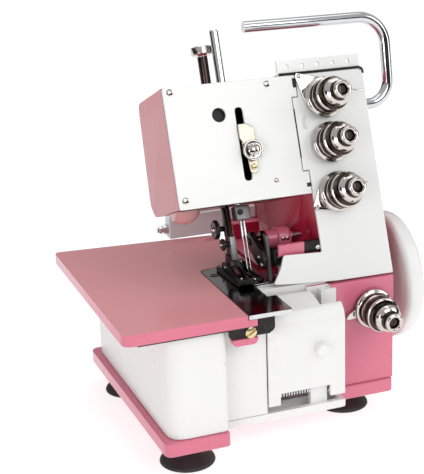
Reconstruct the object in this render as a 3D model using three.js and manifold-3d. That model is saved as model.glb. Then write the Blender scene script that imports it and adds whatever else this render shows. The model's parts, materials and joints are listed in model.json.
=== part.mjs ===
// A four-thread serger (overlock) sewing machine, in millimetres.
// +X is towards the handwheel, -Y is the front where the operator sits, +Z is up.
// The head and its pillar lean back, so their pieces are drawn upright in a tilted group,
// where +Y is depth into the head and +Z is height along the lean.
import * as THREE from 'three';
import { mergeVertices } from 'three/addons/utils/BufferGeometryUtils.js';
import Module from 'manifold-3d';

const wasm = await Module();
wasm.setup();

// ---------------------------------------------------------------- driving dimensions
const GAP = 0.3; // clearance between pieces that touch
const WALL = 3; // casting wall
const SKIN = 2.2; // sheet and moulded cover thickness
const LEAN = THREE.MathUtils.degToRad(20); // how far the head leans back

const FOOT = { height: 16.5, radius: 19.5, places: { front_left: [22, 24], front_right: [158, 62],
  rear_left: [18, 152], rear_right: [163, 155] } };
const PLINTH = { left: -5, right: 186, back: 181, stepX: 46, stepY: 33, top: 27 }; // left: at the back
const CASING = { left: 4.4, rear: 0.4, right: 46, front: 2.2, back: 176, top: 99.5 };
const TABLE = { left: -25.5, rear: -28, right: 59.4, front: -3.3, back: 182.6, low: 102, top: 110 };
const TABLE_PIVOT = { x: 92, y: 160, radius: 3.6 };
const PLATE = { left: 60, right: 91, front: -3.6, back: 95.6, thick: 3 };
const PILLAR = { left: 136, right: 186, front: 35, back: 180, top: 106.5 };
const NEEDLE = { x: 88, y: 64.5, apart: 2.5 }; // the needle bar, where it meets the plate
const PRESSER = { x: 80.2, depth: 10, radius: 2.9 };

const FACE = -25; // depth of the face plate's outer side
const HEAD = { left: 36, right: 187, low: 53, high: 137, back: 47 };
const SLOT = { x: 88.7, half: 2.9, low: 67, high: 118.5 };

const REAR = { wall: 161.6, low: 119, arm: [172, 184], under: 110.7, over: 129.5 }; // behind the table
const SHAFT = { y: 79, z: 91.3, radius: 4.5 };
const WHEEL = { inner: 197, outer: 212, radius: 48 };
const PULLEY = { from: 167, to: 175, shaft: 22, motor: 8 };
const MOTOR = { y: 146, z: 62, radius: 27, from: 139.4, to: 165 };

const DIAL = { x: 153, heights: [118.5, 86.5, 51], seat: 14.5, stud: 3.4, length: 36 };
const LOW_DIAL = { x: 168.5, z: 85 };

const COVER = { left: 79.3, right: 137, front: 13, low: 33 };
const COVER_HINGE = { y: 20.5, z: 38, radius: 1.6 };
const KNIFE = { y: 80.5, z: 131.5 };
const LATCH = { x: 61.5, z: 97.6 };
const LOOPER = { lower: 86, upper: 98, z: 58, radius: 3 };
const HANDLE = { radius: 4.1, lean: THREE.MathUtils.degToRad(10), from: 110, to: 222, tall: 64.4,
  y: 112, z: 215 };

// ---------------------------------------------------------------- colours
const PINK = 0xe2788c;
const WHITE = 0xf2f2f0;
const BLACK = 0x1b1b1d;
const STEEL = 0xb8b8ba;
const NICKEL = 0xa8a19c;
const BRASS = 0xc7b184;
const RUBBER = 0x141414;
const GREY = 0xd2d2d0;

// ---------------------------------------------------------------- solids
// a manifold solid from a three.js geometry whose surface is closed
function solid(geometry) {
  const bare = new THREE.BufferGeometry();
  const flat = geometry.index ? geometry.toNonIndexed() : geometry;
  bare.setAttribute('position', flat.attributes.position.clone());
  const merged = mergeVertices(bare, 1e-4);
  const index = merged.index.array;
  const kept = [];
  for (let i = 0; i < index.length; i += 3) {
    const [a, b, c] = [index[i], index[i + 1], index[i + 2]];
    if (a !== b && b !== c && c !== a) kept.push(a, b, c);
  }
  return new wasm.Manifold(new wasm.Mesh({
    numProp: 3,
    vertProperties: new Float32Array(merged.attributes.position.array),
    triVerts: new Uint32Array(kept),
  }));
}

// a three.js geometry from a manifold solid
function geometryOf(body) {
  const mesh = body.getMesh();
  const geometry = new THREE.BufferGeometry();
  geometry.setAttribute('position', new THREE.BufferAttribute(new Float32Array(mesh.vertProperties), 3));
  geometry.setIndex(new THREE.BufferAttribute(new Uint32Array(mesh.triVerts), 1));
  geometry.computeVertexNormals();
  return geometry;
}

function join(...parts) {
  return geometryOf(parts.map(solid).reduce((sum, part) => sum.add(part)));
}

function cut(base, ...tools) {
  return geometryOf(tools.map(solid).reduce((rest, tool) => rest.subtract(tool), solid(base)));
}

// a box between two values on each axis
function block([x0, x1], [y0, y1], [z0, z1]) {
  const box = new THREE.BoxGeometry(x1 - x0, y1 - y0, z1 - z0);
  return box.translate((x0 + x1) / 2, (y0 + y1) / 2, (z0 + z1) / 2);
}

// turns a shape standing on +Y so that it stands on the named axis, centred at [a, b]
function standOn(axis, geometry, [a, b]) {
  if (axis === 'x') return geometry.rotateZ(-Math.PI / 2).translate(0, a, b);
  if (axis === 'z') return geometry.rotateX(Math.PI / 2).translate(a, b, 0);
  return geometry.translate(a, 0, b);
}

// a round bar along an axis between two values on it
function rod(axis, radius, [from, to], centre, sides = 20) {
  const bar = new THREE.CylinderGeometry(radius, radius, to - from, sides);
  return standOn(axis, bar.translate(0, (from + to) / 2, 0), centre);
}

// a turned piece: profile pairs are [radius, place along the axis], from low to high
function turned(axis, profile, centre, sides = 28) {
  const points = profile.map(([radius, along]) => new THREE.Vector2(radius, along));
  return standOn(axis, new THREE.LatheGeometry(points, sides), centre);
}

// a turned ring: the profile is closed by its first point, going up the outside
function ring(axis, profile, centre, sides = 28) {
  return turned(axis, [...profile, profile[0]], centre, sides);
}

// an outline from corner points; a corner's third value is how much of it is rounded away
function outline(corners, steps = 4) {
  const shape = new THREE.Shape();
  const at = (i) => new THREE.Vector2(...corners[(i + corners.length) % corners.length].slice(0, 2));
  const points = corners.flatMap(([, , round = 0], i) => {
    if (round === 0) return [at(i)];
    const start = at(i - 1).sub(at(i)).setLength(round).add(at(i));
    const end = at(i + 1).sub(at(i)).setLength(round).add(at(i));
    return new THREE.QuadraticBezierCurve(start, at(i), end).getPoints(steps);
  });
  shape.setFromPoints(points);
  return shape;
}

// a circle as an outline
function circle(x, y, radius, sides = 20) {
  const turn = (k) => (2 * Math.PI * k) / sides;
  const points = Array.from({ length: sides }, (_, k) => [
    x + radius * Math.cos(turn(k)), y + radius * Math.sin(turn(k))]);
  return points;
}

// an outline in the XY plane made into a plate between two heights, with holes through it
function slab(corners, [z0, z1], holes = []) {
  const plate = (points, low, high) => new THREE.ExtrudeGeometry(outline(points), {
    depth: high - low, bevelEnabled: false }).translate(0, 0, low);
  if (holes.length === 0) return plate(corners, z0, z1);
  return cut(plate(corners, z0, z1), ...holes.map((hole) => plate(hole, z0 - 1, z1 + 1)));
}

// an outline in the (X, height) plane made into an upright plate between two depths
function upright(corners, [y0, y1], holes = []) {
  return slab(corners, [-y1, -y0], holes).rotateX(Math.PI / 2);
}

// an outline in the (depth, height) plane carried along X between two values
function sidewall(corners, [x0, x1]) {
  return slab(corners, [x0, x1]).rotateX(Math.PI / 2).rotateZ(Math.PI / 2);
}

// ---------------------------------------------------------------- scene graph
const machine = new THREE.Group();
const head = new THREE.Group();
head.position.set(0, NEEDLE.y, TABLE.top);
head.rotation.x = -LEAN;
head.updateMatrix();
machine.add(head);
const toHead = head.matrix.clone().invert(); // upright machine places into the tilted group

function add(group, name, geometry, color, roughness = 0.35, metalness = 0) {
  const mesh = new THREE.Mesh(geometry, new THREE.MeshStandardMaterial({ color, roughness, metalness }));
  mesh.name = name;
  group.add(mesh);
}

// ---------------------------------------------------------------- base and casings
function feet() {
  const { height, radius, places } = FOOT;
  const profile = [[0, 0], [radius, 0], [radius - 0.5, 2], [12, 7], [8, 11], [7, height - GAP],
    [0, height - GAP]];
  for (const [name, place] of Object.entries(places)) {
    add(machine, `foot_${name}`, turned('z', profile, place, 24), RUBBER, 0.7);
  }
}

function basePlinth() {
  const { left, right, back, stepX, stepY, top } = PLINTH;
  const plate = slab([[0, 0, 6], [stepX, 0, 3], [stepX, stepY], [right, stepY, 4], [right, back, 6],
    [left, back, 6]], [FOOT.height, top]);
  add(machine, 'base_plinth', plate, PINK);
}

function leftCasing() {
  const { left, rear, right, front, back, top } = CASING;
  const low = PLINTH.top + GAP;
  const shell = slab([[left, front, 12], [right, front, 4], [right, back, 3], [rear, back, 10]],
    [low, top]);
  const inside = slab([[left + SKIN, front + SKIN, 10], [right - SKIN, front + SKIN, 2],
    [right - SKIN, back - SKIN, 2], [rear + SKIN, back - SKIN, 8]], [low - 1, top - SKIN]);
  const mouth = block([right - WALL, right + 1], [16.5, back - WALL], [low - 1, top - SKIN]);
  add(machine, 'left_casing', cut(shell, inside, mouth), WHITE, 0.25);
}

function frontPanel() {
  const y = COVER.front + 1.2;
  const panel = upright([[46.4, 28], [78.6, 28], [78.6, 94], [46.4, 94]], [y, y + SKIN]);
  add(machine, 'front_panel', panel, WHITE, 0.25);
}

// the sill below the looper cover, with the post and the stop block of the cover's hinge rod
function chipTray() {
  const { y, z, radius } = COVER_HINGE;
  const front = COVER.front + 1.5;
  const back = PLINTH.stepY - GAP;
  const body = sidewall([[front, 22, 2], [24, FOOT.height, 2], [back, FOOT.height], [back, 27.5],
    [front, 27.5]], [46.4, 138]);
  const tray = cut(body, block([50, 134], [18, 30], [20, 29]));
  const post = block([75, 78], [y - 3, y + 9], [19, z + 3.5]);
  const stop = block([112.5, 125], [y - 2.9, y + 1.5], [19, z + 3]);
  const bore = rod('x', radius + GAP, [70, 130], [y, z], 12);
  add(machine, 'chip_tray', cut(join(tray, post, stop), bore), WHITE, 0.25);
}

// the cast bed: deck and pedestal below the needle plate, lower pillar, motor hump behind it
function bedCasting() {
  const { left, right, front, back, top } = PILLAR;
  const low = PLINTH.top + GAP;
  const deck = [96, 101.5];
  const bedLeft = 48;
  const x = [left, right];
  const solids = [
    block(x, [front, back], [low, top]),
    block([left, right], [124, back], [90, 131.5]),
    block([112, left + 1], [REAR.wall, back], [90, REAR.low]),
    block([106, left + 1], [97, REAR.wall + 1], [deck[0], top]),
    block([128.5, 140], [33.5, 62], [87, 104.5]),
    block([118, left + 1], [62, 112], [deck[0], top]),
    block([119.5, left + 1], [38.5, 62.5], [85, top]),
    block([108, left - GAP], [46, 61.5], [deck[0], 117]),
    block([98.6, left - GAP], [40.6, 49.6], [deck[0], 108.8]),
    block([85.2, 99], [40.6, 45], [deck[0], 108.8]),
    block([bedLeft, left + 1], [41, 178], deck),
    block([bedLeft, bedLeft + WALL], [41, 178], [low, deck[1]]),
    block([bedLeft, left + 1], [178 - WALL, 178], [low, deck[1]]),
    block([68, 96.5], [50.5, 95.4], [deck[0], TABLE.top - PLATE.thick - GAP]),
    block([68, 78.5], [2, 51], [deck[0] + 5, TABLE.top - PLATE.thick - GAP]),
    block([79, 105], [100, 104], [50, deck[1]]),
    rod('z', 8, [deck[0], deck[1] + 0.2], [TABLE_PIVOT.x, TABLE_PIVOT.y]),
    rod('z', TABLE_PIVOT.radius, [deck[0], TABLE.top - GAP], [TABLE_PIVOT.x, TABLE_PIVOT.y], 16),
  ];
  const inner = [left + WALL, right - WALL];
  const hollows = [
    block(inner, [front + WALL, back - WALL], [low - 1, top - WALL]),
    block(inner, [45, 104], [60, top + 30]),
    block([left + WALL, right - WALL], [127, back - WALL], [deck[1], 128.5]),
    block([72, 120], [46, 92], [90, deck[1] + 0.1]),
    block([71, 94], [53, 93], [90, TABLE.top]),
    block([right - WALL - 1, right + 1], [45, 175], [36, 99.5]),
    rod('x', SHAFT.radius + 1.5, [107, right + 1], [SHAFT.y, SHAFT.z]),
    rod('y', LOOPER.radius + GAP, [99, 105], [LOOPER.lower, LOOPER.z], 16),
    rod('y', LOOPER.radius + GAP, [99, 105], [LOOPER.upper, LOOPER.z], 16),
  ];
  add(machine, 'bed_casting', cut(join(...solids), ...hollows), PINK, 0.3);
}

function beltCover() {
  const { right } = PILLAR;
  const cover = block([right - WALL + GAP, right - GAP], [45 + GAP, 175 - GAP], [36 + GAP, 99.5 - GAP]);
  const bore = rod('x', SHAFT.radius + 1.5, [right - 9, right + 9], [SHAFT.y, SHAFT.z]);
  add(machine, 'belt_cover', cut(cover, bore), PINK, 0.3);
}

// the beam behind the table, with the threaded stud on its free end
function rearArm() {
  const { arm, under, low, over } = REAR;
  const bar = block([62.5, PILLAR.left - GAP], arm, [low + GAP, over]);
  const drop = block([62.5, 112 - GAP], arm, [under, low + 1]);
  add(machine, 'rear_arm', join(bar, drop), GREY, 0.4);
  const centre = [(arm[0] + arm[1]) / 2, 117.6];
  const stud = join(rod('x', 2.2, [54, 62.5 - GAP], centre, 12), rod('x', 4.4, [58.7, 62.5 - GAP], centre, 6),
    rod('x', 3.6, [55.4, 57.6], centre, 6));
  add(machine, 'rear_stud', stud, STEEL, 0.3, 1);
}

// ---------------------------------------------------------------- table and needle plate
function clothTable() {
  const { left, rear, right, front, back, low, top } = TABLE;
  const far = 99;
  const plate = slab([[left, front, 7], [right, front], [right, 96.6, 8], [far, 96.6],
    [far, 170.5, 5], [rear, back, 5]], [low, top]);
  const tongue = block([right - 2, 66], [front, 8], [low, top - PLATE.thick - GAP]);
  const pocket = slab([[left + 5, front + 5, 5], [right - 5, front + 5], [right - 5, 102],
    [far - 5, 102], [far - 5, 146], [right, 146], [right, 172], [left + 5, back - 6, 5]],
  [low - 1, top - WALL]);
  const bore = rod('z', TABLE_PIVOT.radius + 0.2, [low - 1, top + 1], [TABLE_PIVOT.x, TABLE_PIVOT.y], 16);
  add(machine, 'cloth_table', cut(join(plate, tongue), pocket, bore), PINK, 0.3);
}

function needlePlate() {
  const { left, right, front, back, thick } = PLATE;
  const corners = [[left, front], [right, front, 2], [right, 25], [84.5, 25], [84.5, 50], [96.5, 50],
    [96.5, back], [left, back, 8]];
  const feedSlot = (x) => [[x, 54], [x + 3.4, 54], [x + 3.4, 85.5], [x, 85.5]];
  const needleSlot = [[85.3, 56], [91.2, 56], [91.2, 76], [85.3, 76]];
  const plate = slab(corners, [TABLE.top - thick, TABLE.top],
    [feedSlot(72.3), feedSlot(78.8), needleSlot]);
  add(machine, 'needle_plate', plate, STEEL, 0.15, 1);
}

// ---------------------------------------------------------------- latch below the plate
function tableLatch() {
  const { x, z } = LATCH;
  const strip = upright([[47, 94.5, 2], [75, 94.5], [79, 97, 2], [79, 106.6], [67.5, 106.6],
    [67.5, 101.6], [47, 101.6, 2]], [-1, 2], [circle(x, z, 2.4, 12)]);
  const shelf = block([69, 78], [1.5, 13.9], [95.2, 100.6]);
  add(machine, 'latch_bracket', join(strip, shelf), BLACK, 0.4);
  const screw = turned('y', [[0, -3.6], [3.4, -3.6], [3.8, -3], [3.8, -1 - GAP], [2, -1 - GAP],
    [2, 6.5], [0, 6.5]], [x, z], 20);
  add(machine, 'latch_screw', screw, BRASS, 0.35, 1);
  const plate = join(block([52, 66], [2.4, 5], [90, 97]), rod('y', 3.7, [2.4, 5], [x, z]));
  const arm = cut(plate, rod('y', 2.4, [1, 6], [x, z], 12));
  const lip = upright([[48.7, 93.2], [48.7, 90.5, 1.5], [51, 88.5, 1.2], [65, 88.5, 1.5], [67, 91, 1],
    [67, 93.2]], [-1, 4]);
  add(machine, 'table_latch_lever', join(arm, lip), PINK, 0.3);
}

// ---------------------------------------------------------------- looper cover and its hinge
function looperCover() {
  const { left, right, front, low } = COVER;
  const { y, z, radius } = COVER_HINGE;
  const back = front + SKIN;
  const skin = sidewall([[front, low], [back, low], [back, 90], [16.8, 94], [19.5, 97], [24.3, 99.2],
    [37, 102], [37, 104.2], [24, 101.5], [18, 99], [14.5, 95], [front, 90]], [left, right]);
  const knob = turned('y', [[0, 6.5], [3.8, 6.5], [4.6, 7.5], [4.6, front + 1], [0, front + 1]], [118, 71], 20);
  const ear = (x) => block([x, x + 4], [back - 1, y + 3.8], [z - 3.8, z + 4]);
  const notch = block([121.2, right + 1], [20, 40], [94, 106]);
  const window = block([88, 126], [front - 1, back + 1], [low - 1, 41.5]);
  const bore = rod('x', radius + 1.3, [left, right], [y, z], 16);
  const geometry = cut(join(skin, knob, ear(80), ear(127)), notch, window, bore);
  add(machine, 'looper_cover', geometry, WHITE, 0.25);
  add(machine, 'cover_hinge_rod', rod('x', radius, [74, 137.5], [y, z], 12), STEEL, 0.3, 1);
  const tube = (inner, outer, [from, to]) => ring('x', [[inner, from], [outer, from], [outer, to],
    [inner, to]], [y, z], 16);
  add(machine, 'cover_hinge_sleeve', tube(radius + 0.3, radius + 1, [80.2, 83.8]), STEEL, 0.3, 1);
  add(machine, 'cover_spring', tube(radius + 0.4, radius + 1.9, [84.3, 112.2]), STEEL, 0.3, 1);
}

// ---------------------------------------------------------------- head
function headCasting() {
  const { left, right, low, high, back } = HEAD;
  const front = FACE + SKIN + GAP;
  const inBack = back - WALL;
  const arm = sidewall([[front, low], [38, low, 4], [back, 62, 5], [40, high, 6], [front, high]], [left, right]);
  const pillar = slab([[PILLAR.left, front], [right, front], [right, back], [118, back], [118, 30],
    [PILLAR.left, 0]], [-45, high - 10]);
  const armInside = sidewall([[front - 1, low + WALL], [37, low + WALL], [inBack, 63], [37, high - WALL],
    [front - 1, high - WALL]], [left + WALL, right - WALL]);
  const pillarInside = slab([[PILLAR.left + WALL, front - 1], [right - WALL, front - 1],
    [right - WALL, inBack], [121, inBack], [121, 31], [PILLAR.left + WALL, 1]], [-50, high - 12]);
  const ground = block([0, 300], [-100, 300], [-100, PILLAR.top + GAP]).applyMatrix4(toHead);
  const hump = block([100, 300], [124 - GAP, 300], [0, 131.5 + GAP]).applyMatrix4(toHead);
  const knifeBore = rod('x', 3 + GAP, [110, 150], [KNIFE.y, KNIFE.z]).applyMatrix4(toHead);
  const holes = [
    block([75, 96], [-9, 17], [low - 1, low + WALL + 1]),
    rod('z', 4, [high - WALL - 1, high + 1], [NEEDLE.x, 0]),
    rod('z', 4.4, [high - WALL - 1, high + 1], [PRESSER.x, PRESSER.depth]),
    rod('y', 3.4, [inBack - 8, back + 1], [78, 72], 12),
  ];
  const geometry = cut(join(arm, pillar), armInside, pillarInside, ground, hump, knifeBore, ...holes);
  add(head, 'head_casting', geometry, PINK, 0.3);
}

function facePlate() {
  const { left, low, high } = HEAD;
  const { x, half } = SLOT;
  const slot = [[x - half, SLOT.low, half], [x + half, SLOT.low, half], [x + half, SLOT.high, half],
    [x - half, SLOT.high, half]];
  const plate = upright([[left, low - 0.5, 1.5], [134, low - 0.5], [134, 68.5], [129.5, 68.5],
    [129.5, 121.5], [134, 121.5], [134, high], [left, high, 1.5]], [FACE, FACE + SKIN],
  [circle(73.9, 114.5, 5), slot]);
  add(head, 'face_plate', plate, WHITE, 0.25);
}

function tensionPanel() {
  const { right, high } = HEAD;
  const panel = upright([[134.6, high], [134.6, 121], [130, 121], [130, 69], [134.6, 69],
    [134.6, 10.5, 1.5], [105.6, 12.2, 2], [102, 3, 3], [95.2, -7, 2], [108, -8.5], [142, -11],
    [right, -11.6, 1.5], [right, high, 5]], [FACE, FACE + SKIN]);
  add(head, 'tension_panel', panel, WHITE, 0.25);
}

function topThreadGuide() {
  const low = HEAD.high + GAP;
  const strip = sidewall([[FACE + 1, low], [-8, low], [-8, low + 1.5], [FACE + 3, low + 1.5],
    [FACE + 3, 148], [FACE + 1, 148]], [122, 186]);
  const pitch = 11.85;
  const eyes = Array.from({ length: 5 }, (_, k) => rod('y', 1.6, [FACE, FACE + 4], [129.6 + pitch * k, 143.3], 10));
  add(head, 'top_thread_guide', cut(strip, ...eyes), WHITE, 0.25);
}

function lampLens() {
  const top = HEAD.low - GAP;
  const dome = turned('z', [[0, top - 9], [4.5, top - 8.2], [8.6, top - 5.6], [11, top - 2.4],
    [11.6, top], [0, top]], [45.5, -2], 24);
  add(head, 'lamp_lens', cut(dome, block([0, 37], [-30, 30], [0, 60])), 0xd9a5a5, 0.2);
}

function carryingHandle() {
  const { radius, lean, from, to, tall, y, z } = HANDLE;
  const v = (x, up) => new THREE.Vector3(x, 0, up);
  const low = 15;
  const high = 19;
  const path = new THREE.CurvePath();
  path.add(new THREE.LineCurve3(v(HEAD.right + GAP, 0), v(to - low, 0)));
  path.add(new THREE.QuadraticBezierCurve3(v(to - low, 0), v(to, 0), v(to, low)));
  path.add(new THREE.LineCurve3(v(to, low), v(to, tall - high)));
  path.add(new THREE.QuadraticBezierCurve3(v(to, tall - high), v(to, tall), v(to - high, tall)));
  path.add(new THREE.LineCurve3(v(to - high, tall), v(from, tall)));
  const section = outline(circle(0, 0, radius, 10));
  const bar = new THREE.ExtrudeGeometry(section, { extrudePath: path, steps: 40, bevelEnabled: false });
  const group = new THREE.Group();
  group.position.set(0, y, z);
  group.rotation.x = -lean;
  machine.add(group);
  add(group, 'carrying_handle', bar, STEEL, 0.08, 1);
}

// ---------------------------------------------------------------- needle bar and thread take-up
function needleBar() {
  const { x, apart } = NEEDLE;
  add(head, 'needle_bar', rod('z', 3.2, [51.8, 178.5], [x, 0]), STEEL, 0.1, 1);
  add(head, 'needle_clamp', slab([[x - 5.3, -5, 1], [x + 5.3, -5, 1], [x + 5.3, 5, 1], [x - 5.3, 5, 1]],
    [41.5, 51.5]), BLACK, 0.35, 1);
  const profile = [[0, 3], [0.35, 6], [0.6, 14], [0.6, 28], [0.9, 30], [0.9, 41.2], [0, 41.2]];
  ['left', 'right'].forEach((side, k) => {
    const place = [x - apart / 2 + apart * k, 0];
    add(head, `needle_${side}`, turned('z', profile, place, 8), STEEL, 0.1, 1);
  });
}

function takeUp() {
  const front = FACE - GAP;
  const bracket = upright([[85.6, 106.5, 1], [91, 106.5], [97, 103, 1], [97, 92], [95.6, 71.5, 2],
    [90, 71.5, 2], [88.6, 92], [85.6, 97]], [front - 2, front]);
  const stem = block([87, 90.4], [front - 1, -12], [90, 98]);
  add(head, 'take_up_bracket', join(bracket, stem), NICKEL, 0.25, 1);
  const screw = turned('y', [[0, -34], [3.6, -34], [3.6, -31.6], [7.2, -30.6], [7.2, -29],
    [6, front - 2 - GAP], [0, front - 2 - GAP]], [93.2, 87.2], 20);
  add(head, 'take_up_screw', screw, NICKEL, 0.2, 1);
}

// ---------------------------------------------------------------- presser
function presser() {
  const place = [PRESSER.x, PRESSER.depth];
  const shaft = rod('z', PRESSER.radius, [20, 122], place);
  const { depth } = PRESSER;
  const holder = block([77.6, 82.2], [depth - 7, depth + 3], [20, 31]);
  const thumb = join(rod('x', 7, [69, 72], [depth, 37.4]), rod('x', 2.4, [67.6, 80], [depth, 37.4], 12));
  const small = join(rod('x', 4.4, [72, 75.6], [depth - 4, 26]), rod('x', 1.8, [71, 80], [depth - 4, 26], 12));
  add(head, 'presser_bar', join(shaft, rod('z', 5, [66, 69], place), holder, thumb, small), BLACK, 0.3, 1);
  const spring = ring('z', [[3.3, 69.3], [4.7, 69.3], [4.7, 128.1], [3.3, 128.1]], place, 16);
  add(head, 'presser_spring', spring, STEEL, 0.3, 1);
  const screw = turned('z', [[0, 128.4], [3.7, 128.4], [3.7, 163], [7.7, 163], [7.7, 168.4],
    [7, 169], [0, 169]], place, 24);
  add(head, 'pressure_screw', screw, NICKEL, 0.2, 1);

  const sole = sidewall([[44, 113.5], [50, TABLE.top + GAP], [90, TABLE.top + GAP], [92, 112.5],
    [88, 113.5], [50, 113.2]], [71, 93.4]);
  const body = sidewall([[56, 113], [88, 113], [86, 119], [62, 118]], [74, 92]);
  const ankle = sidewall([[74, 118], [86, 118], [85, 124], [76, 124]], [76.5, 84]);
  const slot = block([84.6, 91.4], [56, 72.5], [105, 125]);
  add(machine, 'presser_foot', cut(join(sole, body, ankle), slot), BLACK, 0.35, 1);

  const hub = rod('y', 6, [48, 53], [78, 72], 16);
  const pin = rod('y', 3, [22, 48.5], [78, 72], 12);
  const lever = upright([[78, 66.5], [48, 58.5, 4], [48, 67.5, 4], [78, 77.5]], [49, 52]);
  add(head, 'presser_lifter', join(hub, pin, lever), BLACK, 0.35);
}

// ---------------------------------------------------------------- knives
function knives() {
  const { y, z } = KNIFE;
  const eye = rod('x', 7, [93.7, 97.9], [y, z], 20);
  const arm = sidewall([[84, 125.5], [86.5, 133], [80, 138], [60, 131.5, 3], [53.5, 126, 3], [55, 118, 3],
    [64, 117.5, 3]], [93.7, 97.9]);
  const pin = rod('x', 1.2, [97, 103], [60.4, 124.5], 12);
  const barrel = rod('x', 7, [101.9, 109.5], [60.4, 124.5], 20);
  add(machine, 'knife_arm', join(eye, arm, pin, barrel), BLACK, 0.35, 1);
  const bladeBar = sidewall([[54.5, 104], [58.5, 104], [65.5, 141], [61, 141]], [98.5, 101]);
  const hole = rod('x', 1.5, [90, 110], [60.4, 124.5], 12);
  add(machine, 'knife_blade', cut(bladeBar, hole), BLACK, 0.3, 1);
  add(machine, 'lower_knife', block([85, 98], [45.4, 48.4], [102, TABLE.top + 0.2]), STEEL, 0.15, 1);
  const tube = turned('x', [[0, 99.2], [5.8, 99.2], [6.5, 100.4], [6.5, 113], [8.2, 114], [8.2, 122.5],
    [7, 124], [3, 124], [3, 141], [0, 141]], [y, z], 24);
  add(machine, 'knife_shaft_housing', tube, PINK, 0.3);
  const rest = [48.8, 51.8];
  const beam = block([103.5, 134.2], rest, [128, 136.2]);
  const pedestal = block([112, 134.2], [rest[0], 58], [117 + GAP, 129]);
  add(machine, 'knife_rest_arm', join(beam, pedestal), PINK, 0.3);
}

// ---------------------------------------------------------------- thread tension dials
// a fixed seat with its stud, and the knob that turns on the stud, standing out to -Y
function dial(group, number, [x, front, height], corner) {
  const { seat, stud, length } = DIAL;
  const face = front - GAP;
  const centre = [x, height];
  const parts = [turned('y', [[0, front - length + 3], [stud, front - length + 3], [stud, face - 9],
    [seat - 3, face - 9], [seat - 1.2, face - 5.2], [seat, face - 4.6], [seat, face], [0, face]], centre)];
  if (corner) {
    const flange = [[x + 4, height + corner[2] * seat * 0.95], [x - seat * 0.95, height - corner[2] * 4],
      [corner[0] - 2.5, corner[1], 1.2], [corner[0], corner[1] + corner[2] * 2.5, 1.2]];
    const loop = corner[2] > 0 ? flange : flange.reverse();
    parts.push(upright(loop, [face - 1.6, face]));
  }
  add(group, `tension_seat_${number}`, parts.length > 1 ? join(...parts) : parts[0], NICKEL, 0.15, 1);
  const bore = stud + GAP;
  const tip = front - length;
  const knob = ring('y', [[bore, tip], [6, tip], [7, tip + 1.4], [7, tip + 4.5], [9.6, tip + 6],
    [9.6, tip + 11], [12, tip + 13], [12.6, tip + 20], [11.6, face - 9 - GAP], [bore, face - 9 - GAP]], centre);
  add(group, `tension_knob_${number}`, knob, NICKEL, 0.15, 1);
}

function tensionDials() {
  const corners = [[136, 135, 1], null, [135, 41.5, -1]];
  DIAL.heights.forEach((height, k) => dial(head, k + 1, [DIAL.x, FACE, height], corners[k]));
  dial(machine, 4, [LOW_DIAL.x, PILLAR.front, LOW_DIAL.z], null);
}

// ---------------------------------------------------------------- drive
function drive() {
  const { y, z, radius } = SHAFT;
  const centre = [y, z];
  const { inner, outer } = WHEEL;
  const rim = WHEEL.radius;
  const bore = radius + GAP;
  const wheel = ring('x', [[bore, 189], [13, 189], [13, inner + 1], [rim - 2, inner], [rim, inner + 2],
    [rim, inner + 7], [rim - 3, outer - 2], [rim - 8, outer], [rim - 12, outer - 3], [13, outer - 5],
    [12, outer - 1], [bore, outer - 1]], centre, 40);
  add(machine, 'handwheel', wheel, WHITE, 0.3);
  const shaft = join(rod('x', radius, [113, outer - 1.5], centre), rod('x', 12, [113, 118], centre));
  add(machine, 'main_shaft', shaft, STEEL, 0.25, 1);
  const grooved = (r, b) => [[b, PULLEY.from], [r + 1.5, PULLEY.from], [r, PULLEY.from + 2],
    [r, PULLEY.to - 2], [r + 1.5, PULLEY.to], [b, PULLEY.to]];
  add(machine, 'shaft_pulley', ring('x', grooved(PULLEY.shaft, bore), centre), BLACK, 0.5);

  const spot = [MOTOR.y, MOTOR.z];
  const body = turned('x', [[0, MOTOR.from], [MOTOR.radius - 3, MOTOR.from], [MOTOR.radius, MOTOR.from + 3],
    [MOTOR.radius, MOTOR.to - 3], [MOTOR.radius - 3, MOTOR.to], [0, MOTOR.to]], spot);
  add(machine, 'motor_body', body, BLACK, 0.5);
  const axle = rod('x', 2.5, [MOTOR.to + GAP, PULLEY.to + 2], spot, 12);
  add(machine, 'motor_pulley', join(axle, turned('x', [[0, PULLEY.from], ...grooved(PULLEY.motor, 0).slice(1, 5),
    [0, PULLEY.to]], spot, 20)), BLACK, 0.5);
  add(machine, 'drive_belt', belt(), RUBBER, 0.8);
}

// the belt is the band between two loops round both pulleys
function belt() {
  const between = new THREE.Vector2(MOTOR.y - SHAFT.y, MOTOR.z - SHAFT.z);
  const loop = (extra) => {
    const big = PULLEY.shaft + extra;
    const small = PULLEY.motor + extra;
    const wrap = Math.acos((big - small) / between.length());
    const arc = (cx, cy, r, from, to, count) => Array.from({ length: count + 1 }, (_, k) => {
      const angle = between.angle() + from + ((to - from) * k) / count;
      return [cx + r * Math.cos(angle), cy + r * Math.sin(angle)];
    });
    return [...arc(SHAFT.y, SHAFT.z, big, wrap, 2 * Math.PI - wrap, 16),
      ...arc(MOTOR.y, MOTOR.z, small, -wrap, wrap, 8)];
  };
  const span = [PULLEY.from + 2.3, PULLEY.to - 2.3];
  return cut(sidewall(loop(2.2), span), sidewall(loop(0.4), [span[0] - 1, span[1] + 1]));
}

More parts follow.
